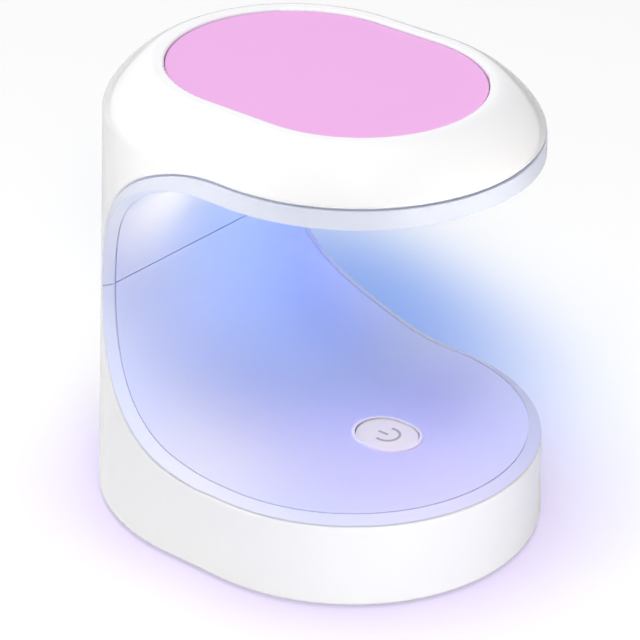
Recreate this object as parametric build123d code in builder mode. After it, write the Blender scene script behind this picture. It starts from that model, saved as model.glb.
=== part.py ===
from build123d import *
import os
from math import radians, tan

# A small C-shaped nail lamp. X runs from the rear column to the open front, Y across, Z up.
# The origin is on the table, under the middle of the base. All lengths are millimetres.

# Outline: a capsule in plan, with walls that lean in a little towards the top
base_radius = 32.0  # of the round ends, at the wall's lower edge
half_straight = 6.2  # from the middle to the centre of each round end
wall_lean = 1.7  # degrees of mould draft
foot_lift = 0.5  # the wall's lower edge stands clear of the table
bottom_round = 0.8
shoulder_z = 68.7  # where the wall ends and the soft dome begins
top_z = 76.4
crown_radius = 21.9  # where the flat rim ends and the head starts to round over
wall = 2.0
roof_z = 73.0  # underside of the head's roof

# The C in side view: a seam slot cut through the housing, and the skin's own slot inside it.
# A slot is its low and high edge, its rearmost point, and where its flat floor begins.
slot_mid = 39.4  # height of the rearmost point, where the skin's two mouldings meet
floor_z = 16.1
ceiling_z = 64.5
seam_outline = (14.9, 68.7, -26.0, 2.0)
skin_outline = (floor_z, ceiling_z, -24.4, 3.6)
skin = 1.8
border_width = 2.1  # bevelled border round the skin's edge
border_drop = 1.05
crease_width = 0.22  # fine groove where the border meets the skin
crease_depth = 0.3
seam_gap = 0.2  # reveal between the housing's edge and the skin
seam_depth = 0.7
edge_round = 0.6
fit_gap = 0.15  # side clearance of what plugs into the housing
lip_height = 1.5  # tongue of the skin behind the housing's edge
lip_thick = 1.05

# Pink inset in the top, a little below the rim round it
inset_x = 0.4
inset_half = 6.4
inset_radius = 20.2
inset_thick = 1.2
tape_thick = 0.2
inset_top = top_z - 0.4
rim_round = 0.45
inset_floor = inset_top - inset_thick - tape_thick
head_screw_places = [(x, y) for x in (-12.0, 12.0) for y in (-16.4, 16.4)]
head_boss_z = 71.5  # where the housing's bosses meet the upper liner's

# Base
cover_low = 0.8
cover_top = 2.8
cover_inset = 1.4
base_screw_places = [(x, side * y) for x, y in ((21.0, 19.0), (-16.0, 20.0)) for side in (-1, 1)]
foot_places = [(x, y) for x in (-27.0, 27.0) for y in (-13.0, 13.0)]
foot_radius = 3.9
foot_seat = 1.3

# Fasteners: small self-tapping screws, shown without their threads
screw_radius = 1.0
pilot_radius = 1.05
clear_radius = 1.2
screw_head_radius = 1.9
head_room_radius = 2.1
boss_radius = 2.5

# Control board
board_z = 5.6
board_thick = 1.6
board_top = board_z + board_thick
board_screw_places = [(x, y) for x in (-26.5, 17.0) for y in (-9.0, 9.0)]

# Power inlet at the rear of the base, a 24-contact reversible socket
socket_wide = 8.94
socket_high = 3.26
socket_long = 7.35
socket_sheet = 0.3
socket_mouth = -36.9
socket_z = board_top + socket_high / 2

# Button
button_x = 14.3
button_half = 0.93
bezel_radius = 5.08
bezel_inner = 4.5
bezel_rise = 0.3
button_hole = 4.9
cap_radius = 4.36
cap_top = floor_z + bezel_rise - 0.25
plunger_top = board_top + 5.0
plunger_radius = 1.65
switch_size = 6.0
switch_top = board_top + 3.5
travel = 0.5

# Light head
window_x = 16.5
window_half = 6.5
window_radius = 7.25
window_face = ceiling_z + 0.4
skin_top = ceiling_z + skin
window_flange = 0.8
reflector_radius = 8.5
led_board_z = 69.4
led_board_thick = 1.2
led_pitch_x = 8.5
led_pitch_y = 7.2
led_size = 3.5
led_thick = 0.9
led_screw_places = [(window_x, -10.6), (window_x, 10.6)]

# Supply leads from the control board to the light head
lead_radius = 0.6
lead_spread = 1.5
header_x = -22.0


def wall_radius(z):
    """Radius of the leaning outer wall's round ends at a height."""
    return base_radius - (z - foot_lift) * tan(radians(wall_lean))


def capsule_body(section):
    """A solid with one half section, drawn in radius and height, all round the capsule plan."""
    rear = Plane(origin=(-half_straight, 0, 0), x_dir=(0, 1, 0), z_dir=(1, 0, 0))
    front = Plane(origin=(half_straight, 0, 0), x_dir=(0, -1, 0), z_dir=(-1, 0, 0))
    with BuildPart() as body:
        with BuildSketch(rear):
            add(section)
            mirror(about=Plane.YZ)
        extrude(amount=2 * half_straight)
        for plane in (rear, front):
            with BuildSketch(plane):
                add(section)
            revolve(axis=Axis(plane.origin, (0, 0, 1)), revolution_arc=180)
    return body.part


def dome_section(inset, low, roof, rise, reach, flat_radius):
    """Half section of a leaning wall under a soft dome: rise and reach set how full the dome is."""
    rim = wall_radius(shoulder_z) - inset
    with BuildSketch() as section:
        with BuildLine():
            side = Line((wall_radius(low) - inset, low), (rim, shoulder_z))
            dome = Bezier(side @ 1, (rim, shoulder_z + rise), (flat_radius + reach, roof), (flat_radius, roof))
            Polyline(dome @ 1, (0, roof), (0, low), side @ 0)
        make_face()
    return section.sketch


def wall_section(inset, low, high):
    """Half section of the plain leaning wall between two heights."""
    with BuildSketch() as section:
        with BuildLine():
            Polyline(
                (0, low),
                (wall_radius(low) - inset, low),
                (wall_radius(high) - inset, high),
                (0, high),
                close=True,
            )
        make_face()
    return section.sketch


def slot_body(outline, grow=0.0):
    """The C's opening, cut from side to side: a flat floor, a quarter ellipse, a quarter circle and
    a flat ceiling. It can be grown outwards by a distance on every side."""
    low, high, rear, floor_start = outline
    low, high, rear = low - grow, high + grow, rear - grow
    front = base_radius + half_straight + 10
    arc_radius = high - slot_mid
    with BuildPart() as body:
        with BuildSketch(Plane.XZ):
            with BuildLine():
                Line((front, low), (floor_start, low))
                EllipticalCenterArc((floor_start, slot_mid), floor_start - rear, slot_mid - low, 180, arc_size=90)
                CenterArc((rear + arc_radius, slot_mid), arc_radius, 180, -90)
                Line((rear + arc_radius, high), (front, high))
                Line((front, high), (front, low))
            make_face()
        extrude(amount=base_radius + 5, both=True)
    return body.part


def plan_radius(point):
    """Distance of a point from the plan's straight centre line."""
    along = max(abs(point.X) - half_straight, 0)
    return (along**2 + point.Y**2) ** 0.5


def slot_distance(point, outline):
    """About how far a point lies from a slot's outline in side view."""
    low, high, rear, floor_start = outline
    if point.Z < slot_mid:
        tall, centre_x, flat = slot_mid - low, floor_start, low
    else:
        tall, centre_x, flat = high - slot_mid, rear + high - slot_mid, high
    if point.X > centre_x:
        return abs(point.Z - flat)
    along = (point.X - centre_x) / (centre_x - rear)
    up = (point.Z - slot_mid) / tall
    return abs((along**2 + up**2) ** 0.5 - 1) * tall


def rim_edges(edges, outline):
    """The edges where a slot breaks out through the leaning outer wall."""
    close = 0.02

    def on_rim(edge):
        middle = edge @ 0.5
        on_wall = abs(plan_radius(middle) - wall_radius(middle.Z)) < close
        return on_wall and slot_distance(middle, outline) < close

    return [edge for edge in edges if on_rim(edge)]


def capsule_plate(low, high, half, radius, x=0.0, mode=Mode.ADD):
    """Adds or cuts a straight capsule-shaped plate between two heights."""
    with BuildSketch(Plane.XY.offset(low)) as plate:
        with Locations((x, 0)):
            SlotCenterToCenter(2 * half, 2 * radius)
    extrude(plate.sketch, amount=high - low, mode=mode)


def round_posts(places, low, high, radius, mode=Mode.ADD):
    """Adds or cuts round posts at a list of places."""
    with BuildSketch(Plane.XY.offset(low)) as posts:
        with Locations(*places):
            Circle(radius)
    extrude(posts.sketch, amount=high - low, mode=mode)


def screws(places, seat, tip, head_thick):
    """Pan-head screws that sit on a seat height and end at a tip height, with a cross recess."""
    away = 1 if seat > tip else -1
    top = seat + away * head_thick
    low, high = sorted((seat, tip))
    round_posts(places, low, high, screw_radius)
    low, high = sorted((seat, top))
    round_posts(places, low, high, screw_head_radius)
    with BuildSketch(Plane.XY.offset(top)) as cross:
        with Locations(*places):
            Rectangle(2.2, 0.5)
            Rectangle(0.5, 2.2)
    extrude(cross.sketch, amount=-away * 0.5, mode=Mode.SUBTRACT)


def save(builder, name):
    """Labels a finished piece and writes its STEP file."""
    builder.part.label = name
    export_step(builder.part, f"parts/{name}.step")


os.makedirs("parts", exist_ok=True)

# Forms that several mouldings share
outer_section = dome_section(0, foot_lift, top_z, 2.3, 2.4, crown_radius)
bottom_corner = outer_section.vertices().sort_by_distance((base_radius, foot_lift))[0]
outer_body = capsule_body(fillet(bottom_corner, bottom_round))
cavity_body = capsule_body(dome_section(wall, cover_top, roof_z, 1.5, 2.5, 22.0))
plug_body = capsule_body(dome_section(wall + fit_gap, foot_lift, roof_z - fit_gap, 1.5, 2.5, 21.8))
lip_core = capsule_body(wall_section(wall + fit_gap + lip_thick, foot_lift, roof_z))
seam_slot = slot_body(seam_outline)
reveal_slot = slot_body(seam_outline, -seam_gap)
reveal_core = capsule_body(wall_section(seam_depth, foot_lift, top_z))
lip_slot = slot_body(seam_outline, lip_height)
skin_slot = slot_body(skin_outline)
back_slot = slot_body(skin_outline, skin)
tongue_slot = slot_body(skin_outline, skin / 2)

# Housing: the outer shell, with the column's wire guides and the bosses under the roof
with BuildPart() as housing:
    add(outer_body)
    add(cavity_body, mode=Mode.SUBTRACT)
    capsule_plate(foot_lift, cover_top, half_straight, base_radius - cover_inset, mode=Mode.SUBTRACT)
    round_posts(head_screw_places, head_boss_z, roof_z + wall / 2, 3.0)
    with BuildSketch(Plane.XY.offset(17.0)):
        with Locations((-32.9, -3.0), (-32.9, 3.0)):
            Rectangle(6.2, 1.2)
    extrude(amount=45.0)
    add(seam_slot, mode=Mode.SUBTRACT)
    fillet(rim_edges(housing.edges(), seam_outline), edge_round)
    capsule_plate(inset_floor, top_z, inset_half, inset_radius + 0.15, inset_x, mode=Mode.SUBTRACT)
    fillet(housing.faces().sort_by(Axis.Z)[-1].inner_wires()[0].edges(), rim_round)
    round_posts(head_screw_places, inset_floor - 1.2, inset_floor, head_room_radius, mode=Mode.SUBTRACT)
    round_posts(head_screw_places, head_boss_z, inset_floor, clear_radius, mode=Mode.SUBTRACT)
    with BuildSketch(Plane.YZ.offset(-base_radius - half_straight - 1)):
        with Locations((0, socket_z)):
            SlotOverall(13.0, 7.0)
    extrude(amount=socket_mouth + base_radius + half_straight + 1, mode=Mode.SUBTRACT)
    with BuildSketch(Plane.YZ.offset(socket_mouth)):
        with Locations((0, socket_z)):
            SlotOverall(socket_wide + 0.36, socket_high + 0.36)
    extrude(amount=4.0, mode=Mode.SUBTRACT)
save(housing, "housing")

# Pink inset and the tape under it
with BuildPart() as top_pad:
    capsule_plate(inset_top - inset_thick, inset_top, inset_half, inset_radius, inset_x)
    fillet(top_pad.faces().sort_by(Axis.Z)[-1].edges(), 0.2)
save(top_pad, "top_pad")

with BuildPart() as pad_adhesive:
    capsule_plate(inset_floor, inset_floor + tape_thick, inset_half, inset_radius - 0.6, inset_x)
save(pad_adhesive, "pad_adhesive")

with BuildPart() as head_screws:
    screws(head_screw_places, inset_floor - 1.2, skin_top - 0.2, 1.1)
save(head_screws, "head_screws")

# The C-shaped inner skin as one form: a flush rim in the wall's thickness, a skin that spans the
# cavity, and a tongue behind the housing's edge, with a bevelled border round the whole opening
with BuildPart() as rim:
    add(outer_body)
    add(seam_slot, mode=Mode.INTERSECT)
    add(plug_body, mode=Mode.SUBTRACT)

with BuildPart() as reveal:
    add(outer_body)
    add(seam_slot, mode=Mode.INTERSECT)
    add(reveal_core, mode=Mode.SUBTRACT)
    add(reveal_slot, mode=Mode.SUBTRACT)

with BuildPart() as lip:
    add(plug_body)
    add(lip_slot, mode=Mode.INTERSECT)
    add(lip_core, mode=Mode.SUBTRACT)

with BuildPart() as crease:
    add(capsule_body(wall_section(border_width - crease_width / 2, foot_lift, roof_z)))
    add(slot_body(skin_outline, crease_depth), mode=Mode.INTERSECT)
    add(capsule_body(wall_section(border_width + crease_width / 2, foot_lift, roof_z)), mode=Mode.SUBTRACT)

with BuildPart() as inner_skin:
    add(plug_body)
    add(back_slot, mode=Mode.INTERSECT)
    add(rim.part)
    add(lip.part)
    add(skin_slot, mode=Mode.SUBTRACT)
    floor_face = inner_skin.faces().filter_by(GeomType.PLANE).filter_by_position(
        Axis.Z, floor_z - 0.01, floor_z + 0.01
    )[0]
    border = rim_edges(floor_face.edges(), skin_outline)
    chamfer(border[0], border_width, border_drop, reference=floor_face)
    add(reveal.part, mode=Mode.SUBTRACT)
    add(crease.part, mode=Mode.SUBTRACT)

# The lower moulding's tongue rises behind the upper one where they meet on the column
tongue_height = 3.0
part_gap = 0.1

with BuildPart() as tongue:
    add(plug_body)
    add(back_slot, mode=Mode.INTERSECT)
    add(tongue_slot, mode=Mode.SUBTRACT)
    split(bisect_by=Plane.XY.offset(slot_mid - part_gap), keep=Keep.TOP)
    split(bisect_by=Plane.XY.offset(slot_mid + tongue_height), keep=Keep.BOTTOM)

with BuildPart() as tongue_room:
    add(plug_body)
    add(lip_slot, mode=Mode.INTERSECT)
    add(slot_body(skin_outline, skin / 2 - part_gap), mode=Mode.SUBTRACT)
    split(bisect_by=Plane.XY.offset(slot_mid), keep=Keep.TOP)
    split(bisect_by=Plane.XY.offset(slot_mid + tongue_height + part_gap), keep=Keep.BOTTOM)

with BuildPart() as upper_liner:
    add(inner_skin.part)
    split(bisect_by=Plane.XY.offset(slot_mid + part_gap), keep=Keep.TOP)
    add(tongue_room.part, mode=Mode.SUBTRACT)
    round_posts(head_screw_places, slot_mid + 20.0, head_boss_z, boss_radius)
    round_posts(led_screw_places, skin_top - 0.2, led_board_z, screw_head_radius)
    add(skin_slot, mode=Mode.SUBTRACT)
    round_posts(head_screw_places, skin_top - 0.6, head_boss_z, pilot_radius, mode=Mode.SUBTRACT)
    round_posts(led_screw_places, skin_top, led_board_z, pilot_radius, mode=Mode.SUBTRACT)
    capsule_plate(ceiling_z, skin_top, window_half, window_radius + fit_gap, window_x, mode=Mode.SUBTRACT)
save(upper_liner, "upper_liner")

with BuildPart() as lower_liner:
    add(inner_skin.part)
    split(bisect_by=Plane.XY.offset(slot_mid - part_gap), keep=Keep.BOTTOM)
    add(tongue.part)
    round_posts(base_screw_places, cover_top, floor_z + 8.0, boss_radius)
    add(skin_slot, mode=Mode.SUBTRACT)
    round_posts(base_screw_places, cover_top, cover_top + 9.5, pilot_radius, mode=Mode.SUBTRACT)
    capsule_plate(floor_z - skin, floor_z, button_half, button_hole, button_x, mode=Mode.SUBTRACT)
save(lower_liner, "lower_liner")

# Bottom cover: plate, locating wall, standoffs for the board, foot recesses and screw holes
with BuildPart() as bottom_cover:
    capsule_plate(cover_low, cover_top, half_straight, base_radius - cover_inset - fit_gap)
    capsule_plate(cover_top, cover_top + 1.8, half_straight, 29.7)
    capsule_plate(cover_top, cover_top + 1.8, half_straight, 28.5, mode=Mode.SUBTRACT)
    round_posts(board_screw_places, cover_top, board_z, boss_radius)
    round_posts(board_screw_places, cover_top - 0.6, board_z, pilot_radius, mode=Mode.SUBTRACT)
    round_posts(foot_places, cover_low, foot_seat, foot_radius + 0.1, mode=Mode.SUBTRACT)
    round_posts(base_screw_places, cover_low, cover_top, clear_radius, mode=Mode.SUBTRACT)
    round_posts(base_screw_places, cover_low, cover_low + 1.0, head_room_radius, mode=Mode.SUBTRACT)
save(bottom_cover, "bottom_cover")

with BuildPart() as feet:
    round_posts(foot_places, 0, foot_seat, foot_radius)
    fillet(feet.faces().group_by(Axis.Z)[0].edges(), 0.3)
save(feet, "feet")

with BuildPart() as bottom_screws:
    screws(base_screw_places, cover_low + 1.0, cover_top + 9.0, 0.9)
save(bottom_screws, "bottom_screws")

# Button: a snap-in ring, the cap inside it, and the switch below
with BuildPart() as button_bezel:
    capsule_plate(floor_z, floor_z + bezel_rise, button_half, bezel_radius, button_x)
    fillet(button_bezel.faces().sort_by(Axis.Z)[-1].edges(), 0.15)
    capsule_plate(floor_z - 2.7, floor_z, button_half, button_hole - 0.1, button_x)
    capsule_plate(floor_z - skin - 0.6, floor_z - skin, button_half, button_hole + 0.2, button_x)
    capsule_plate(
        floor_z - 2.7, floor_z + bezel_rise, button_half, bezel_inner, button_x, mode=Mode.SUBTRACT
    )
save(button_bezel, "button_bezel")

cap_low = floor_z - 3.7
with BuildPart() as button_cap:
    capsule_plate(cap_low, cap_top, button_half, cap_radius, button_x)
    fillet(button_cap.faces().sort_by(Axis.Z)[-1].edges(), 0.15)
    capsule_plate(cap_low, cap_low + 0.7, button_half, cap_radius + 0.35, button_x)
    capsule_plate(cap_low, cap_top - 1.35, button_half, cap_radius - 0.85, button_x, mode=Mode.SUBTRACT)
    round_posts([(button_x, 0)], plunger_top, cap_top - 1.35, 1.7)
save(button_cap, "button_cap")

with BuildPart() as switch_plunger:
    round_posts([(button_x, 0)], switch_top - 2.1, plunger_top, plunger_radius)
save(switch_plunger, "switch_plunger")

switch_plate = 0.3
bore_radius = plunger_radius + 0.15
with BuildPart() as switch_body:
    with BuildSketch(Plane.XY.offset(board_top)):
        with Locations((button_x, 0)):
            RectangleRounded(switch_size, switch_size, 0.5)
    extrude(amount=switch_top - switch_plate - board_top)
    round_posts([(button_x, 0)], switch_top - 2.1 - travel - 0.1, switch_top, bore_radius, mode=Mode.SUBTRACT)
save(switch_body, "switch_body")

with BuildPart() as switch_cover:
    with BuildSketch(Plane.XY.offset(switch_top - switch_plate)):
        with Locations((button_x, 0)):
            RectangleRounded(switch_size, switch_size, 0.5)
    extrude(amount=switch_plate)
    with BuildSketch(Plane.XY.offset(switch_top - 2.4)):
        with Locations((button_x - 3.125, 0), (button_x + 3.125, 0)):
            Rectangle(0.25, 3.0)
    extrude(amount=2.4)
    round_posts([(button_x, 0)], switch_top - switch_plate, switch_top, bore_radius, mode=Mode.SUBTRACT)
save(switch_cover, "switch_cover")

with BuildPart() as switch_terminals:
    for side in (-1, 1):
        with BuildSketch(Plane.YZ.offset(button_x)):
            with BuildLine():
                Polyline(
                    (side * 3.0, board_top),
                    (side * 4.6, board_top),
                    (side * 4.6, board_top + 0.25),
                    (side * 3.25, board_top + 0.25),
                    (side * 3.25, board_top + 1.0),
                    (side * 3.0, board_top + 1.0),
                    close=True,
                )
            make_face()
        extrude(amount=2.6, both=True)
    with BuildSketch(Plane.XY.offset(board_top)):
        with Locations((button_x, 0)):
            Rectangle(3.8, 12.0)
    extrude(amount=2.0, mode=Mode.SUBTRACT)
save(switch_terminals, "switch_terminals")

# Control board, its screws and the power inlet on its rear tab
with BuildPart() as control_board:
    with BuildSketch(Plane.XY.offset(board_z)):
        with Locations((-5.0, 0)):
            RectangleRounded(50.0, 24.0, 2.0)
        with Locations((-31.8, 0)):
            Rectangle(5.6, 12.0)
        with Locations(*board_screw_places):
            Circle(clear_radius, mode=Mode.SUBTRACT)
    extrude(amount=board_thick)
save(control_board, "control_board")

with BuildPart() as board_screws:
    screws(board_screw_places, board_top, cover_top - 0.4, 1.1)
save(board_screws, "board_screws")

with BuildPart() as usb_shell:
    with BuildSketch(Plane.YZ.offset(socket_mouth)):
        with Locations((0, socket_z)):
            SlotOverall(socket_wide, socket_high)
    extrude(amount=socket_long)
    with BuildSketch(Plane.YZ.offset(socket_mouth)):
        with Locations((0, socket_z)):
            SlotOverall(socket_wide - 2 * socket_sheet, socket_high - 2 * socket_sheet)
    extrude(amount=socket_long - socket_sheet, mode=Mode.SUBTRACT)
    with BuildSketch(Plane.XY.offset(board_top)):
        with GridLocations(2.6, socket_wide - 1.6, 2, 2):
            with Locations((socket_mouth + 5.2, 0)):
                Rectangle(1.0, 3.2)
    extrude(amount=socket_sheet)
save(usb_shell, "usb_shell")

tongue_base = socket_mouth + 5.0
with BuildPart() as usb_tongue:
    with BuildSketch(Plane.YZ.offset(tongue_base)):
        with Locations((0, socket_z)):
            SlotOverall(socket_wide - 2 * socket_sheet, socket_high - 2 * socket_sheet)
    extrude(amount=socket_long - socket_sheet - 5.0)
    with BuildSketch(Plane.YZ.offset(tongue_base)):
        with Locations((0, socket_z)):
            Rectangle(6.7, 0.7)
    extrude(amount=-4.2)
save(usb_tongue, "usb_tongue")

# Parts on the control board
chip_x, chip_y = 2.0, 5.2
with BuildPart() as controller_chip:
    with BuildSketch(Plane.XY.offset(board_top + 0.15)):
        with Locations((chip_x, chip_y)):
            Rectangle(4.9, 3.9)
    extrude(amount=1.4)
    chamfer(controller_chip.faces().sort_by(Axis.Z)[-1].edges(), 0.15)
save(controller_chip, "controller_chip")

with BuildPart() as controller_leads:
    for side in (-1, 1):
        with BuildSketch(Plane.YZ.offset(chip_x)):
            with BuildLine():
                Polyline(
                    (chip_y + side * 1.95, board_top + 0.75),
                    (chip_y + side * 2.5, board_top + 0.75),
                    (chip_y + side * 2.5, board_top + 0.2),
                    (chip_y + side * 3.1, board_top + 0.2),
                    (chip_y + side * 3.1, board_top),
                    (chip_y + side * 2.3, board_top),
                    (chip_y + side * 2.3, board_top + 0.55),
                    (chip_y + side * 1.95, board_top + 0.55),
                    close=True,
                )
            make_face()
        extrude(amount=2.105, both=True)
    with BuildSketch(Plane.XY.offset(board_top)):
        with Locations((chip_x, chip_y)):
            with GridLocations(1.27, 0, 3, 1):
                Rectangle(0.87, 8.0)
    extrude(amount=2.0, mode=Mode.SUBTRACT)
save(controller_leads, "controller_leads")

with BuildPart() as driver_transistor:
    with BuildSketch(Plane.XY.offset(board_top)):
        with Locations((2.0, -5.0)):
            Rectangle(2.9, 1.3)
        with Locations((1.05, -6.1), (2.95, -6.1), (2.0, -3.9)):
            Rectangle(0.4, 1.0)
    extrude(amount=0.2)
    with BuildSketch(Plane.XY.offset(board_top + 0.2)):
        with Locations((2.0, -5.0)):
            Rectangle(2.9, 1.3)
    extrude(amount=0.8)
save(driver_transistor, "driver_transistor")

with BuildPart() as input_capacitor:
    with BuildSketch(Plane.XY.offset(board_top)):
        with Locations((-12.0, 6.6)):
            RectangleRounded(6.6, 6.6, 1.2)
    extrude(amount=0.9)
    round_posts([(-12.0, 6.6)], board_top + 0.9, board_top + 5.6, 3.15)
    fillet(input_capacitor.faces().sort_by(Axis.Z)[-1].edges(), 0.4)
save(input_capacitor, "input_capacitor")

with BuildPart() as current_resistors:
    with BuildSketch(Plane.XY.offset(board_top)):
        with Locations((-10.0, -6.4)):
            with GridLocations(7.4, 4.2, 2, 2):
                Rectangle(6.3, 3.2)
    extrude(amount=0.6)
save(current_resistors, "current_resistors")

with BuildPart() as chip_resistors:
    with BuildSketch(Plane.XY.offset(board_top)):
        with Locations((7.4, 0)):
            with GridLocations(0, 3.4, 1, 4):
                Rectangle(2.0, 1.25)
    extrude(amount=0.5)
save(chip_resistors, "chip_resistors")

with BuildPart() as chip_capacitors:
    with BuildSketch(Plane.XY.offset(board_top)):
        with Locations((-4.6, 3.4), (-4.6, 7.0)):
            Rectangle(1.25, 2.0)
    extrude(amount=0.9)
save(chip_capacitors, "chip_capacitors")

# Wire-to-board connector
header_low = board_top + 0.8
with BuildPart() as wire_header:
    with BuildSketch(Plane.XY.offset(board_top)):
        with Locations((header_x, 0)):
            Rectangle(4.6, 7.4)
    extrude(amount=4.0)
    with BuildSketch(Plane.XY.offset(header_low)):
        with Locations((header_x, 0)):
            Rectangle(3.3, 6.1)
    extrude(amount=4.0, mode=Mode.SUBTRACT)
save(wire_header, "wire_header")

plug_top = board_top + 5.4
with BuildPart() as wire_plug:
    with BuildSketch(Plane.XY.offset(header_low)):
        with Locations((header_x, 0)):
            Rectangle(3.1, 5.9)
    extrude(amount=plug_top - header_low)
    chamfer(wire_plug.faces().sort_by(Axis.Z)[-1].edges(), 0.3)
save(wire_plug, "wire_plug")

# Leads: up from the plug, along the column between the guides, over to the light head
lead_level = led_board_z + led_board_thick + lead_radius
lead_end_x = 5.0


def lead(y):
    """One lead along its route at a side position."""
    corners = [
        (header_x, y, plug_top),
        (header_x, y, 19.0),
        (-30.8, y, 28.0),
        (-30.8, y, 60.0),
        (-21.0, y, lead_level),
        (lead_end_x, y, lead_level),
    ]
    with BuildLine() as route:
        FilletPolyline(*corners, radius=[6.4, 13.0, 16.0, 14.0])
    with BuildPart() as wire:
        with BuildSketch(Plane.XY.offset(plug_top)):
            with Locations((header_x, y)):
                Circle(lead_radius)
        sweep(path=route.line)
    return wire


lead_red = lead(lead_spread)
save(lead_red, "lead_red")
lead_black = lead(-lead_spread)
save(lead_black, "lead_black")

with BuildPart() as solder_joints:
    for side in (-1, 1):
        with Locations((lead_end_x + 0.4, side * lead_spread, led_board_z + led_board_thick)):
            Sphere(1.3)
    split(bisect_by=Plane.XY.offset(led_board_z + led_board_thick), keep=Keep.TOP)
    add(lead_red.part, mode=Mode.SUBTRACT)
    add(lead_black.part, mode=Mode.SUBTRACT)
save(solder_joints, "solder_joints")

# Light head: board with its lamps, the reflector and the window below
with BuildPart() as led_board:
    with BuildSketch(Plane.XY.offset(led_board_z)):
        with Locations((window_x, 0)):
            RectangleRounded(31.0, 25.0, 8.0)
        with Locations(*led_screw_places):
            Circle(clear_radius, mode=Mode.SUBTRACT)
    extrude(amount=led_board_thick)
save(led_board, "led_board")

with BuildPart() as led_board_screws:
    screws(led_screw_places, led_board_z + led_board_thick, skin_top + 0.3, 1.1)
save(led_board_screws, "led_board_screws")

led_low = led_board_z - led_thick
with BuildPart() as led_packages:
    with BuildSketch(Plane.XY.offset(led_low)):
        with Locations((window_x, 0)):
            with GridLocations(led_pitch_x, led_pitch_y, 3, 2):
                Rectangle(led_size, led_size)
    extrude(amount=led_thick)
save(led_packages, "led_packages")

dome_radius = 1.5
with BuildPart() as led_domes:
    with Locations((window_x, 0, led_low + 0.5)):
        with GridLocations(led_pitch_x, led_pitch_y, 3, 2):
            Sphere(dome_radius)
    split(bisect_by=Plane.XY.offset(led_low), keep=Keep.BOTTOM)
save(led_domes, "led_domes")

reflector_low = skin_top + window_flange
with BuildPart() as reflector:
    capsule_plate(reflector_low, led_board_z, window_half, reflector_radius, window_x)
    with BuildSketch(Plane.XY.offset(reflector_low)):
        with Locations((window_x, 0)):
            with GridLocations(led_pitch_x, led_pitch_y, 3, 2):
                Circle(3.2)
    extrude(amount=led_board_z - reflector_low, taper=16.0, mode=Mode.SUBTRACT)
save(reflector, "reflector")

with BuildPart() as light_window:
    capsule_plate(window_face, skin_top, window_half, window_radius, window_x)
    capsule_plate(skin_top, reflector_low, window_half, reflector_radius, window_x)
save(light_window, "light_window")
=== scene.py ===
from math import cos, radians, sin

import bpy
from mathutils import Matrix, Vector


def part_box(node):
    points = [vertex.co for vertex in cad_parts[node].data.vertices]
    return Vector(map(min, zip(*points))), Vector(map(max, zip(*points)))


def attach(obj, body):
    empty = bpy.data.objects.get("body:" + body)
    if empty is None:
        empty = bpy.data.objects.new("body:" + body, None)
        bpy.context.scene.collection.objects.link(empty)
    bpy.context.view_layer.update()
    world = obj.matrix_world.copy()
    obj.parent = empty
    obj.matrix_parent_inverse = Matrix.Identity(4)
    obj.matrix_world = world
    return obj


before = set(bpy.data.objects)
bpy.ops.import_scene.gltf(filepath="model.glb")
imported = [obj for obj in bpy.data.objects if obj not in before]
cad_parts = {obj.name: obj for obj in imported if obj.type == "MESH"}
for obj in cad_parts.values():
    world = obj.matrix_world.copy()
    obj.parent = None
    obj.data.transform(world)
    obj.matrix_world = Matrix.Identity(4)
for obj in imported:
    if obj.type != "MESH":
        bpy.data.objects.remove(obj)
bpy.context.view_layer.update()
mm = 0.001  # sizes and places below are in millimetres, and Blender's own are in metres
print("loaded", len(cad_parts), "nodes")

# Sockets of a Mix node that mixes colours: its factor, the two colours and the result
mixFactor, mixFirst, mixSecond, mixResult = 0, 6, 7, 2


def colour(text):
    # sRGB hex to the linear values that shaders and lamps want
    values = [int(text[i:i + 2], 16) / 255 for i in (1, 3, 5)]
    linear = [v / 12.92 if v <= 0.04045 else ((v + 0.055) / 1.055) ** 2.4 for v in values]
    return (*linear, 1.0)


def newMaterial(name):
    material = bpy.data.materials.new(name)
    material.use_nodes = True
    material.node_tree.nodes.clear()
    return material, material.node_tree


def addNode(tree, kind, settings=None, links=None):
    # settings are node properties or socket values, links are socket name to an output socket
    node = tree.nodes.new(kind)
    for key, value in (settings or {}).items():
        if isinstance(key, str) and hasattr(node, key):
            setattr(node, key, value)
        else:
            node.inputs[key].default_value = value
    for key, socket in (links or {}).items():
        tree.links.new(socket, node.inputs[key])
    return node


def dress(names, material):
    for name in names:
        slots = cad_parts[name].data.materials
        slots.clear()
        slots.append(material)


# What the surfaces have in common, where a finish doesn't say otherwise
surface = dict(
    wanderMm=14,  # from one shinier patch to the next on a large moulding
    wanderDetail=2.0,
    grainDetail=3.0,
    grainDeep=0.05,
)


def surfaceGrain(tree, settings):
    # a gloss that wanders over some millimetres, and a fine grain in the surface itself
    place = addNode(tree, "ShaderNodeTexCoord")
    wander = settings.get("wanderMm", surface["wanderMm"])
    wide = addNode(tree, "ShaderNodeTexNoise",
                   {"Scale": 1 / (wander * mm), "Detail": surface["wanderDetail"]},
                   {"Vector": place.outputs["Object"]})
    fine = addNode(tree, "ShaderNodeTexNoise",
                   {"Scale": 1 / (settings["grainMm"] * mm), "Detail": surface["grainDetail"]},
                   {"Vector": place.outputs["Object"]})
    slope = settings["roughSpread"] * 2
    gloss = addNode(tree, "ShaderNodeMath",
                    {"operation": "MULTIPLY_ADD", 1: slope, 2: settings["rough"] - slope / 2},
                    {0: wide.outputs["Fac"]})
    bump = addNode(tree, "ShaderNodeBump",
                   {"Strength": settings["bump"], "Distance": surface["grainDeep"] * mm},
                   {"Height": fine.outputs["Fac"]})
    return {"Roughness": gloss.outputs[0], "Normal": bump.outputs["Normal"]}


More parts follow.
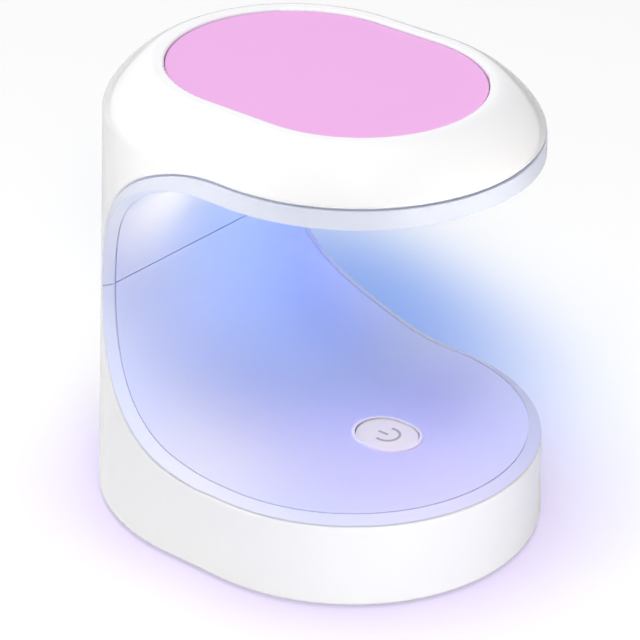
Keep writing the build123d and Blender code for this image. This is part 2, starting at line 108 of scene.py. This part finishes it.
def finishMaterial(tree, shaderValues, links):
    shader = addNode(tree, "ShaderNodeBsdfPrincipled", shaderValues, links)
    addNode(tree, "ShaderNodeOutputMaterial", links={"Surface": shader.outputs["BSDF"]})


def evenMaterial(name, settings, shaderValues):
    # one colour all over, with the finish's own gloss and grain
    material, tree = newMaterial(name)
    finishMaterial(tree, {"Base Color": colour(settings["base"])} | shaderValues,
                   surfaceGrain(tree, settings))
    dress(settings.get("nodes", []), material)
    return material


# Plastics, rubbers and other things that aren't metal, clear or printed.
# Satin and eroded faces have a finer grain than the render can show, so it is drawn coarser here.
plastics = {
    # ABS moulded in a polished tool: a bright, wet-looking gloss with a very faint ripple
    "polishedAbs": dict(base="#f8f8fa", rough=0.20, roughSpread=0.05, grainMm=2.6, bump=0.02, coat=0.3,
                        nodes=["housing"]),
    # ABS moulded in a less polished tool: a softer gloss; its white is painted cooler and bluer than the
    # shell's, a painted share of the lamp's blue glow on the white ABS
    "softGlossAbs": dict(base="#dfe4f4", rough=0.30, roughSpread=0.06, grainMm=1.2, bump=0.03,
                         nodes=["upper_liner", "lower_liner"]),
    # moulded polycarbonate with a pink pigment: an even satin face without sharp highlights
    "pinkPolycarbonate": dict(base="#eeafe8", rough=0.46, roughSpread=0.06, grainMm=0.25, bump=0.08,
                              nodes=["top_pad"]),
    # ABS moulded and buffed: the ring catches a thin bright line
    "buffedAbs": dict(base="#fbfbf4", rough=0.18, roughSpread=0.03, grainMm=1.4, bump=0.02, coat=0.3,
                      nodes=["button_bezel"]),
    # ABS moulded in a fine satin tool: the cap is duller and creamier than its ring
    "satinAbs": dict(base="#ececdc", rough=0.33, roughSpread=0.05, grainMm=0.4, bump=0.05,
                     nodes=["button_cap"]),
    # ABS moulded in a spark-eroded tool: dull and finely rough
    "erodedAbs": dict(base="#ededf0", rough=0.55, roughSpread=0.08, grainMm=0.35, bump=0.35,
                      nodes=["bottom_cover"]),
    # cast silicone rubber: dull, with fine dust on it
    "castSilicone": dict(base="#c9c9ce", rough=0.78, roughSpread=0.12, grainMm=0.3, bump=0.30, wanderMm=3,
                         nodes=["feet"]),
    # moulded nylon filled with glass: black with a greyish bloom
    "glassFilledNylon": dict(base="#232326", rough=0.48, roughSpread=0.08, grainMm=0.3, bump=0.12,
                             nodes=["switch_body", "switch_plunger", "usb_tongue"]),
    # moulded nylon without pigment: warm ivory, slightly waxy
    "naturalNylon": dict(base="#efe9dc", rough=0.40, roughSpread=0.08, grainMm=0.4, bump=0.10,
                         nodes=["wire_header", "wire_plug"]),
    # moulded epoxy of a chip: dull and slightly speckled
    "mouldedEpoxy": dict(base="#2a2a2c", rough=0.62, roughSpread=0.10, grainMm=0.12, bump=0.20,
                         nodes=["controller_chip"]),
    # pressed and fired alumina: chalky white
    "firedAlumina": dict(base="#f3f1ea", rough=0.50, roughSpread=0.06, grainMm=0.15, bump=0.10,
                         nodes=["led_packages"]),
    # cast acrylic foam tape: dull as paper, with fine cells
    "acrylicFoam": dict(base="#ddd8cb", rough=0.82, roughSpread=0.10, grainMm=0.2, bump=0.50,
                        nodes=["pad_adhesive"]),
    # extruded PVC sleeve: a soft gloss with a slight ripple
    "redPvc": dict(base="#c0272a", rough=0.42, roughSpread=0.08, grainMm=0.9, bump=0.10, wanderMm=4,
                   nodes=["lead_red"]),
    # the same sleeve with black pigment
    "blackPvc": dict(base="#26262a", rough=0.42, roughSpread=0.08, grainMm=0.9, bump=0.10, wanderMm=4,
                     nodes=["lead_black"]),
}
plasticIor = 1.5
coatRough = 0.06
for finish, settings in plastics.items():
    evenMaterial(finish, settings, {"IOR": plasticIor, "Coat Weight": settings.get("coat", 0.0),
                                    "Coat Roughness": coatRough})
print("plastics done")

# Metals: plated, rolled or melted, so their gloss wanders within a few millimetres
metals = {
    # zinc-plated steel: grey with a faint blue cast, cloudy from the plating bath
    "zincPlatedSteel": dict(base="#c3c6cc", rough=0.30, roughSpread=0.14, grainMm=0.5, bump=0.10, wanderMm=2,
                            nodes=["head_screws", "bottom_screws", "board_screws", "led_board_screws"]),
    # rolled steel sheet, nickel-plated: bright and a little warm
    "nickelPlatedSheet": dict(base="#d2cfc8", rough=0.22, roughSpread=0.10, grainMm=0.35, bump=0.12,
                              wanderMm=3, nodes=["usb_shell", "switch_cover"]),
    # stamped copper alloy, tinned: pale, with a soft shine
    "tinnedCopper": dict(base="#d9dadb", rough=0.34, roughSpread=0.12, grainMm=0.3, bump=0.12, wanderMm=1,
                         nodes=["switch_terminals", "controller_leads"]),
    # reflowed solder: bright, and frosted where it froze last
    "reflowedSolder": dict(base="#cfd1d3", rough=0.26, roughSpread=0.20, grainMm=0.4, bump=0.35, wanderMm=1,
                           nodes=["solder_joints"]),
    # aluminium laid on plastic in a vacuum: nearly a mirror
    "vacuumAluminium": dict(base="#e9eaec", rough=0.10, roughSpread=0.06, grainMm=1.5, bump=0.04, wanderMm=6,
                            nodes=["reflector"]),
    # gold plated over nickel: a clear yellow shine
    "goldPlate": dict(base="#e5b95c", rough=0.24, roughSpread=0.08, grainMm=0.3, bump=0.06, wanderMm=1),
}
for finish, settings in metals.items():
    evenMaterial(finish, settings, {"Metallic": 1.0})
print("metals done")

# Small parts in two finishes, told apart by how far they are from the part's middle on one axis.
# repeat is the distance from one part to the next, past is where the second finish begins.
chipParts = {
    # thick-film resistors, printed and glazed: black glass between tinned ends
    "glazedPowerResistor": dict(body="#1f2022", ends="#cfd0d1", axis="X", middle=-13.7, repeat=7.4, past=2.6,
                                nodes=["current_resistors"]),
    # the same kind in the smaller size
    "glazedSmallResistor": dict(body="#1f2022", ends="#cfd0d1", axis="X", middle=7.4, repeat=4.0, past=0.68,
                                nodes=["chip_resistors"]),
    # fired barium titanate: tan between tinned ends
    "firedTitanate": dict(body="#a1826a", ends="#cfd0d1", axis="Y", middle=3.4, repeat=3.6, past=0.62,
                          nodes=["chip_capacitors"]),
    # moulded epoxy: black, with bright leads at the level of the board
    "leadedEpoxy": dict(body="#252527", ends="#cfd0d1", axis="Z", middle=8.6, repeat=20.0, past=1.2,
                        nodes=["driver_transistor"]),
    # drawn aluminium can: bare and bright on a black moulded foot
    "drawnAluminiumCan": dict(body="#cfd1d6", ends="#202022", axis="Z", middle=11.6, repeat=20.0, past=3.5,
                              bodyMetal=1.0, endMetal=0.0, nodes=["input_capacitor"]),
}
chipGrain = dict(rough=0.42, roughSpread=0.14, grainMm=0.2, bump=0.12, wanderMm=1)


def chipMaterial(name, settings):
    material, tree = newMaterial(name)
    place = addNode(tree, "ShaderNodeTexCoord")
    split = addNode(tree, "ShaderNodeSeparateXYZ", links={"Vector": place.outputs["Object"]})
    reach = settings["repeat"] / 2 * mm
    away = addNode(tree, "ShaderNodeMath", {"operation": "SUBTRACT", 1: settings["middle"] * mm},
                   {0: split.outputs[settings["axis"]]})
    wrapped = addNode(tree, "ShaderNodeMath", {"operation": "WRAP", 1: -reach, 2: reach},
                      {0: away.outputs[0]})
    distance = addNode(tree, "ShaderNodeMath", {"operation": "ABSOLUTE"}, {0: wrapped.outputs[0]})
    isEnd = addNode(tree, "ShaderNodeMath", {"operation": "GREATER_THAN", 1: settings["past"] * mm},
                    {0: distance.outputs[0]})
    paint = addNode(tree, "ShaderNodeMix",
                    {"data_type": "RGBA", mixFirst: colour(settings["body"]),
                     mixSecond: colour(settings["ends"])},
                    {mixFactor: isEnd.outputs[0]})
    metal = addNode(tree, "ShaderNodeMapRange",
                    {"To Min": settings.get("bodyMetal", 0.0), "To Max": settings.get("endMetal", 1.0)},
                    {"Value": isEnd.outputs[0]})
    finishMaterial(tree, {}, surfaceGrain(tree, chipGrain) | {
        "Base Color": paint.outputs[mixResult], "Metallic": metal.outputs["Result"]})
    return material


for finish, settings in chipParts.items():
    dress(settings["nodes"], chipMaterial(finish, settings))

# Circuit boards, etched and coated: copper tracks lie under the solder mask and lift it a little
boards = {
    # green mask over glass cloth: deep green with lighter tracks
    "greenSolderMask": dict(mask="#0f5a34", track="#1d7a49", rough=0.30, trackMm=2.3,
                            nodes=["control_board"]),
    # white mask over aluminium: the tracks hardly show
    "whiteSolderMask": dict(mask="#eceeee", track="#f8f8f6", rough=0.34, trackMm=4.2,
                            nodes=["led_board"]),
}
# bricks stand for the tracks: long ones, set off from row to row
trackPattern = {"offset": 0.37, "squash": 1.6, "squash_frequency": 3, "Mortar Size": 0.09,
                "Mortar Smooth": 0.1, "Brick Width": 1.7, "Row Height": 0.6}
mask = dict(
    ior=1.55,
    weaveMm=0.4,  # threads of the glass cloth
    weaveDetail=2.0,
    trackLift=4.0,  # how much more a track lifts the mask than a thread does
    bump=0.25,
    deep=0.03,
)


def boardMaterial(name, settings):
    material, tree = newMaterial(name)
    place = addNode(tree, "ShaderNodeTexCoord")
    tracks = addNode(tree, "ShaderNodeTexBrick", trackPattern | {"Scale": 1 / (settings["trackMm"] * mm)},
                     {"Vector": place.outputs["Object"]})
    paint = addNode(tree, "ShaderNodeMix",
                    {"data_type": "RGBA", mixFirst: colour(settings["mask"]),
                     mixSecond: colour(settings["track"])},
                    {mixFactor: tracks.outputs["Fac"]})
    weave = addNode(tree, "ShaderNodeTexNoise",
                    {"Scale": 1 / (mask["weaveMm"] * mm), "Detail": mask["weaveDetail"]},
                    {"Vector": place.outputs["Object"]})
    lift = addNode(tree, "ShaderNodeMath", {"operation": "MULTIPLY_ADD", 1: mask["trackLift"]},
                   {0: tracks.outputs["Fac"], 2: weave.outputs["Fac"]})
    bump = addNode(tree, "ShaderNodeBump", {"Strength": mask["bump"], "Distance": mask["deep"] * mm},
                   {"Height": lift.outputs[0]})
    finishMaterial(tree, {"Roughness": settings["rough"], "IOR": mask["ior"]},
                   {"Base Color": paint.outputs[mixResult], "Normal": bump.outputs["Normal"]})
    return material


for finish, settings in boards.items():
    dress(settings["nodes"], boardMaterial(finish, settings))

# Clear parts: the light shows through them
clearParts = {
    # cast acrylic sheet, polished: clear, with a faint cool tint
    "polishedAcrylic": dict(base="#f6f7ff", ior=1.49, rough=0.04, roughSpread=0.03, grainMm=3.0, bump=0.02,
                            nodes=["light_window"]),
    # optical silicone, cast: clear, a little soft to the eye
    "clearSilicone": dict(base="#f4f2ff", ior=1.41, rough=0.10, roughSpread=0.04, grainMm=0.8, bump=0.03,
                          nodes=["led_domes"]),
}
for finish, settings in clearParts.items():
    evenMaterial(finish, settings, {"IOR": settings["ior"], "Transmission Weight": 1.0})
print("boards and clear parts done")

smoothAngle = 30  # in degrees, an edge that turns more stays sharp
bevelSteps = 2


def deselectAll():
    bpy.ops.object.select_all(action="DESELECT")


def pick(pieces):
    # only these are selected, and the first one is active
    deselectAll()
    for piece in pieces:
        piece.select_set(True)
    bpy.context.view_layer.objects.active = pieces[0]


def settle(piece, body, material):
    # the place goes into the mesh, the edges are shaded, and the piece joins the lamp
    pick([piece])
    bpy.ops.object.transform_apply(location=True, rotation=True, scale=True)
    bpy.ops.object.shade_smooth_by_angle(angle=radians(smoothAngle))
    piece.data.materials.clear()
    piece.data.materials.append(material)
    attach(piece, body)


def bevelEdges(piece, width):
    bevel = piece.modifiers.new("edge", "BEVEL")
    bevel.width = width * mm
    bevel.segments = bevelSteps
    bevel.limit_method = "ANGLE"
    pick([piece])
    bpy.ops.object.modifier_apply(modifier=bevel.name)


def joinPieces(name, pieces):
    pick(pieces)
    bpy.ops.object.join()
    pieces[0].name = name
    return pieces[0]


def block(centre, size):
    # a rectangular bar
    deselectAll()
    bpy.ops.mesh.primitive_cube_add(size=1, location=[c * mm for c in centre], scale=[s * mm for s in size])
    bpy.ops.object.transform_apply(location=True, rotation=True, scale=True)
    return bpy.context.object


def repeat(piece, spots):
    # the piece at the first spot, and a copy with its own mesh at each of the others
    pieces = [piece]
    for spot in spots[1:]:
        pick([piece])
        bpy.ops.object.duplicate(linked=False)
        pieces.append(bpy.context.object)
    for one, spot in zip(pieces, spots):
        one.location = [c * mm for c in spot]
    return pieces


# Power mark on the cap: an open ring and a bar, printed thick in grey ink
powerMark = dict(
    x=14.3,  # middle of the button
    radius=2.05,
    stroke=0.46,
    halfTurn=107,  # degrees that the ring runs to each side, open towards the column
    turnSteps=40,
    barFrom=-1.75,
    barTo=0.15,
    barRound=0.138,  # more than the ink's thickness allows, so its edges are round all the way
    thick=0.05,
    weld=0.001,
)
# pad-printed ink, dried: matt grey, slightly grainy
padPrint = dict(base="#a9a99c", rough=0.45, roughSpread=0.08, grainMm=0.15, bump=0.15, wanderMm=1)
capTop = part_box("button_cap")[1].z / mm


def openRing(settings, level):
    # the ring's end face stands at one end of its turn, and is swept about the middle to the other end
    turn = radians(settings["halfTurn"])
    middle = (settings["x"] * mm, 0, 0)
    deselectAll()
    bpy.ops.mesh.primitive_plane_add(size=1, location=(settings["radius"] * mm, 0, level * mm),
                                     rotation=(radians(90), 0, 0))
    ring = bpy.context.object
    ring.scale = (settings["stroke"] * mm, settings["thick"] * mm, 1)
    bpy.ops.object.transform_apply(location=True, rotation=True, scale=True)
    ring.rotation_euler = (0, 0, turn)
    ring.location = middle
    bpy.ops.object.transform_apply(location=True, rotation=True, scale=True)
    bpy.ops.object.mode_set(mode="EDIT")
    bpy.ops.mesh.select_all(action="SELECT")
    bpy.ops.mesh.spin(steps=settings["turnSteps"], angle=2 * turn, center=middle, axis=(0, 0, 1))
    bpy.ops.mesh.select_all(action="SELECT")
    bpy.ops.mesh.remove_doubles(threshold=settings["weld"] * mm)
    bpy.ops.mesh.normals_make_consistent(inside=False)
    bpy.ops.object.mode_set(mode="OBJECT")
    return ring


def printedMark(settings):
    level = capTop + settings["thick"] / 2
    barLong = settings["barTo"] - settings["barFrom"]
    bar = block((settings["x"] + settings["barFrom"] + barLong / 2, 0, level),
                (barLong, settings["stroke"], settings["thick"]))
    bevelEdges(bar, settings["barRound"])
    return joinPieces("powerMark", [openRing(settings, level), bar])


settle(printedMark(powerMark), "button", evenMaterial("padPrintInk", padPrint, {}))

# Lit chips inside the LED domes
ledDie = dict(
    x=16.5,  # middle of the six
    pitchX=8.5,
    pitchY=7.2,
    size=1.0,
    thick=0.14,
    edge=0.03,
    glow="#5a6cff",
    strength=14.0,
)
# sprayed phosphor in silicone: pale, and lit from within
phosphor = dict(base="#c9ccff", rough=0.5, roughSpread=0.1, grainMm=0.1, bump=0.1, wanderMm=1)
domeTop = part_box("led_domes")[1].z / mm
die = block((0, 0, 0), (ledDie["size"], ledDie["size"], ledDie["thick"]))
bevelEdges(die, ledDie["edge"])
dieLevel = domeTop - ledDie["thick"] / 2
dies = repeat(die, [(ledDie["x"] + column * ledDie["pitchX"], row * ledDie["pitchY"], dieLevel)
                    for column in (-1, 0, 1) for row in (-0.5, 0.5)])
litPhosphor = evenMaterial("litPhosphor", phosphor, {"Emission Color": colour(ledDie["glow"]),
                                                     "Emission Strength": ledDie["strength"]})
settle(joinPieces("ledDies", dies), "lamp", litPhosphor)

# Gold contacts on both faces of the power socket's tongue
contact = dict(
    count=12,  # on each face
    pitch=0.5,
    wide=0.26,
    long=3.4,
    thick=0.05,
    edge=0.015,
    front=-35.9,  # their ends near the socket's mouth
    tongueHalf=0.35,
)
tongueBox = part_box("usb_tongue")
tongueMiddle = (tongueBox[0].z + tongueBox[1].z) / 2 / mm


def contactSpots(settings):
    middle = (settings["count"] - 1) / 2
    return [(settings["front"] + settings["long"] / 2, (index - middle) * settings["pitch"],
             tongueMiddle + face * settings["tongueHalf"])
            for face in (-1, 1) for index in range(settings["count"])]


contactPad = block((0, 0, 0), (contact["long"], contact["wide"], contact["thick"]))
bevelEdges(contactPad, contact["edge"])
contacts = joinPieces("socketContacts", repeat(contactPad, contactSpots(contact)))
settle(contacts, "lamp", bpy.data.materials["goldPlate"])
print("new pieces done")

# Camera, matched to the photograph
view = dict(
    azimuth=40.725,  # degrees
    elevation=28.893,
    roll=0.039,
    aim=(-15.764, 0.0, 21.359),
    distance=522.904,
    nearest=10,
    frameWidth=640,  # pixels, as are the next two
    focal=3140.7,
    centre=(246.49, 347.55),
    sensorWidth=36,
)


def placeCamera(settings):
    turn, lift = radians(settings["azimuth"]), radians(settings["elevation"])
    back = Vector((sin(turn) * cos(lift), -cos(turn) * cos(lift), sin(lift)))
    bpy.ops.object.camera_add(location=(Vector(settings["aim"]) + back * settings["distance"]) * mm)
    camera = bpy.context.object
    roll = Matrix.Rotation(radians(settings["roll"]), 4, "Z")
    camera.rotation_euler = (back.to_track_quat("Z", "Y").to_matrix().to_4x4() @ roll).to_euler()
    width = settings["frameWidth"]
    camera.data.sensor_width = settings["sensorWidth"]
    camera.data.lens = settings["focal"] / width * settings["sensorWidth"]
    camera.data.shift_x = (width / 2 - settings["centre"][0]) / width
    camera.data.shift_y = (settings["centre"][1] - width / 2) / width
    camera.data.clip_start = settings["nearest"] * mm
    bpy.context.scene.camera = camera


placeCamera(view)
bpy.context.scene.view_settings.view_transform = "Standard"

# White table: it keeps the lamp's shadow, and the camera sees it lifted to full white
table = dict(
    size=6000,
    bounce="#f2f2f2",  # what the lamp sees
    shadowShare=0.5,  # how much of what the camera sees is shaded, the rest is even white
    lift=0.56,  # how bright that even part is beside the lamp
    evenFrom=150,  # from here on the shading fades
    evenPast=500,  # and here only even white is left
    # the light that spills on it: a blue pool beside the gap and a faint violet edge round the base,
    # each with its reach and fall-off, and how much red, green and blue it takes from the white
    poolAt=(-38.2, 57.3),
    poolTurn=-19.4,  # degrees
    poolReach=(48.7, 23.3),
    poolFall=2.47,
    poolTakes=(0.42, 0.31, 0.062),
    baseRadius=32.0,
    baseStraight=6.2,  # from the base's middle to where its round ends begin
    edgeReach=10.9,
    edgeFall=1.28,
    edgeTakes=(0.085, 0.123, 0.012),
    screenGamma=2.2,
)


def fadeOut(tree, distance, fall):
    # 1 at no distance, with a soft fall to 0
    raised = addNode(tree, "ShaderNodeMath", {"operation": "POWER", 1: fall}, {0: distance})
    turned = addNode(tree, "ShaderNodeMath", {"operation": "MULTIPLY", 1: -1.0}, {0: raised.outputs[0]})
    return addNode(tree, "ShaderNodeMath", {"operation": "EXPONENT"}, {0: turned.outputs[0]}).outputs[0]


def poolDistance(tree, place, settings):
    # from the middle of the pool, where 1 is its reach
    pool = addNode(tree, "ShaderNodeMapping", {
        "vector_type": "TEXTURE",
        "Location": [c * mm for c in settings["poolAt"]] + [0],
        "Rotation": (0, 0, radians(settings["poolTurn"])),
        "Scale": [c * mm for c in settings["poolReach"]] + [1],
    }, {"Vector": place})
    away = addNode(tree, "ShaderNodeVectorMath", {"operation": "LENGTH"}, {0: pool.outputs[0]})
    return away.outputs["Value"]


def baseDistance(tree, place, settings):
    # from the wall of the base outwards, where 1 is the edge's reach
    split = addNode(tree, "ShaderNodeSeparateXYZ", links={"Vector": place})
    along = addNode(tree, "ShaderNodeMath", {"operation": "ABSOLUTE"}, {0: split.outputs["X"]})
    past = addNode(tree, "ShaderNodeMath", {"operation": "SUBTRACT", 1: settings["baseStraight"] * mm},
                   {0: along.outputs[0]})
    past = addNode(tree, "ShaderNodeMath", {"operation": "MAXIMUM", 1: 0.0}, {0: past.outputs[0]})
    flat = addNode(tree, "ShaderNodeCombineXYZ", links={"X": past.outputs[0], "Y": split.outputs["Y"]})
    radius = addNode(tree, "ShaderNodeVectorMath", {"operation": "LENGTH"}, {0: flat.outputs[0]})
    outside = addNode(tree, "ShaderNodeMapRange",
                      {"From Min": settings["baseRadius"] * mm,
                       "From Max": (settings["baseRadius"] + settings["edgeReach"]) * mm, "clamp": False},
                      {"Value": radius.outputs["Value"]})
    outside = addNode(tree, "ShaderNodeMath", {"operation": "MAXIMUM", 1: 0.0},
                      {0: outside.outputs["Result"]})
    return outside.outputs[0]


def spilledLight(tree, place, settings):
    # the table's colour, from white down to the tints of the spilled light
    tint = None
    for distance, fall, takes in (
        (poolDistance(tree, place, settings), settings["poolFall"], settings["poolTakes"]),
        (baseDistance(tree, place, settings), settings["edgeFall"], settings["edgeTakes"]),
    ):
        taken = addNode(tree, "ShaderNodeVectorMath", {"operation": "SCALE", 0: takes},
                        {"Scale": fadeOut(tree, distance, fall)})
        left = addNode(tree, "ShaderNodeVectorMath", {"operation": "SUBTRACT", 0: (1, 1, 1)},
                       {1: taken.outputs[0]})
        if tint:
            tree.links.new(tint.outputs[0], left.inputs[0])
        tint = left
    # the takes are in screen values, so they are turned to light
    light = addNode(tree, "ShaderNodeGamma", {"Gamma": settings["screenGamma"]}, {"Color": tint.outputs[0]})
    return light.outputs[0]


def tableMaterial(settings):
    material, tree = newMaterial("whiteTable")
    place = addNode(tree, "ShaderNodeTexCoord").outputs["Object"]
    white = spilledLight(tree, place, settings)
    rays = addNode(tree, "ShaderNodeLightPath")
    away = addNode(tree, "ShaderNodeVectorMath", {"operation": "LENGTH"}, {0: place})
    reach = {"From Min": settings["evenFrom"] * mm, "From Max": settings["evenPast"] * mm,
             "interpolation_type": "SMOOTHSTEP"}
    share = addNode(tree, "ShaderNodeMapRange", reach | {"To Min": settings["shadowShare"], "To Max": 0.0},
                    {"Value": away.outputs["Value"]})
    level = addNode(tree, "ShaderNodeMapRange", reach | {"To Min": settings["lift"], "To Max": 1.0},
                    {"Value": away.outputs["Value"]})
    shade = addNode(tree, "ShaderNodeVectorMath", {"operation": "SCALE"},
                    {0: white, "Scale": share.outputs["Result"]})
    shaded = addNode(tree, "ShaderNodeMix", {"data_type": "RGBA", mixFirst: colour(settings["bounce"])},
                     {mixFactor: rays.outputs["Is Camera Ray"], mixSecond: shade.outputs[0]})
    lift = addNode(tree, "ShaderNodeMath", {"operation": "MULTIPLY"},
                   {0: rays.outputs["Is Camera Ray"], 1: level.outputs["Result"]})
    matt = addNode(tree, "ShaderNodeBsdfDiffuse", links={"Color": shaded.outputs[mixResult]})
    even = addNode(tree, "ShaderNodeEmission", links={"Color": white, "Strength": lift.outputs[0]})
    both = addNode(tree, "ShaderNodeAddShader", links={0: matt.outputs[0], 1: even.outputs[0]})
    addNode(tree, "ShaderNodeOutputMaterial", links={"Surface": both.outputs[0]})
    return material


deselectAll()
bpy.ops.mesh.primitive_plane_add(size=table["size"] * mm)
floor = bpy.context.object
floor.name = "table"
floor.data.materials.append(tableMaterial(table))
print("camera and table done")

# Soft boxes and cards round the lamp, and the lamp's own glow in the gap: at is where one stands, aim is
# what it faces, size is width and height, spread is in degrees and power in watts
plainBox = dict(aim=(0, 0, 40), shape="RECTANGLE", spread=180, tint="#ffffff")
softBoxes = {
    "topBox": dict(at=(0, 0, 900), size=(600, 600), power=3.9),
    "topRearBox": dict(at=(-300, 0, 850), size=(400, 400), power=0.95),
    "topFrontBox": dict(at=(300, -330, 850), size=(300, 300), power=2.2),
    "frontBox": dict(at=(450, -480, 500), size=(300, 300), power=0.8),
    "leftBox": dict(at=(-300, -700, 300), size=(300, 300), power=1.1),
    "rearBox": dict(at=(-750, -250, 120), size=(300, 300), power=1.2),
    # small cards close to the base make the soft upright highlight on its wall
    "bandCard": dict(at=(72, -68, 10), aim=(28, -23, 8), size=(10, 16), power=0.0055),
    "rightCard": dict(at=(110, -10, 8), aim=(38, -4, 8), size=(60, 14), power=0.0155),
    # two more light the inner skin's border under the head from outside
    "lipCard": dict(at=(-6, -100, 30), aim=(-2, -31, 66), size=(30, 8), spread=36,
                    tint="#fff7ea", power=0.0010),
    "endCard": dict(at=(124, -32, 34), aim=(38, -2, 68.5), size=(20, 8), spread=36,
                    tint="#fff7ea", power=0.0022),
    # the lamp's light: deep blue through the window, paler by the column, warmed to violet at the front
    "windowGlow": dict(at=(16.5, 0, 64.2), aim=(16.5, 0, 0), size=(26, 14),
                       tint="#0053ff", power=0.0107),
    "columnGlow": dict(at=(6, 6, 55), aim=(-24, 12, 34), size=(12, 12), spread=120,
                       tint="#00ffc4", power=0.0008),
    "edgeGlow": dict(at=(20, 34, 50), aim=(-12, 24, 38), size=(8, 8), spread=70,
                     tint="#0030ff", power=0.0014),
    "frontGlow": dict(at=(30, -8, 45), aim=(22, -8, 16), size=(16, 30),
                      tint="#ffa200", power=0.0020),
    # white where the lamp's light thins out, on the near side of the column and of the floor
    "columnCard": dict(at=(8, -14, 36), aim=(-22, -13, 58), size=(8, 16), spread=55,
                       tint="#ffe880", power=0.0009),
    "floorCard": dict(at=(4, -26, 46), aim=(0, -26, 16), size=(24, 8), spread=80,
                      tint="#ffda00", power=0.0005),
    # and the white button stays white in the blue light
    "buttonLight": dict(at=(14.3, 0, 40), aim=(14.3, 0, 16), size=(11.5, 9.8), spread=8, shape="ELLIPSE",
                        tint="#fff4d8", power=0.00007),
}


def addLamp(name, settings):
    settings = plainBox | settings
    place, aim = Vector(settings["at"]) * mm, Vector(settings["aim"]) * mm
    bpy.ops.object.light_add(type="AREA", location=place)
    lamp = bpy.context.object
    lamp.name = name
    lamp.rotation_euler = (place - aim).to_track_quat("Z", "Y").to_euler()
    lamp.data.shape = settings["shape"]
    lamp.data.size, lamp.data.size_y = [side * mm for side in settings["size"]]
    lamp.data.color = colour(settings["tint"])[:3]
    lamp.data.energy = settings["power"]
    lamp.data.spread = radians(settings["spread"])
    lamp.visible_camera = False
    lamp.visible_glossy = False


for name, settings in softBoxes.items():
    addLamp(name, settings)

# White air all round: dim as a light on matt surfaces, full in what the camera, gloss and glass show
sky = dict(tint="#ffffff", fill=0.02, seen=1.0)


def studioAir(settings):
    world = bpy.data.worlds.new("studio")
    bpy.context.scene.world = world
    world.use_nodes = True
    tree = world.node_tree
    tree.nodes.clear()
    rays = addNode(tree, "ShaderNodeLightPath")
    mirrored = addNode(tree, "ShaderNodeMath", {"operation": "MAXIMUM"},
                       {0: rays.outputs["Is Glossy Ray"], 1: rays.outputs["Is Transmission Ray"]})
    seen = addNode(tree, "ShaderNodeMath", {"operation": "MAXIMUM"},
                   {0: rays.outputs["Is Camera Ray"], 1: mirrored.outputs[0]})
    level = addNode(tree, "ShaderNodeMapRange", {"To Min": settings["fill"], "To Max": settings["seen"]},
                    {"Value": seen.outputs[0]})
    air = addNode(tree, "ShaderNodeBackground", {"Color": colour(settings["tint"])},
                  {"Strength": level.outputs["Result"]})
    addNode(tree, "ShaderNodeOutputWorld", links={"Surface": air.outputs[0]})


studioAir(sky)
print("light done")
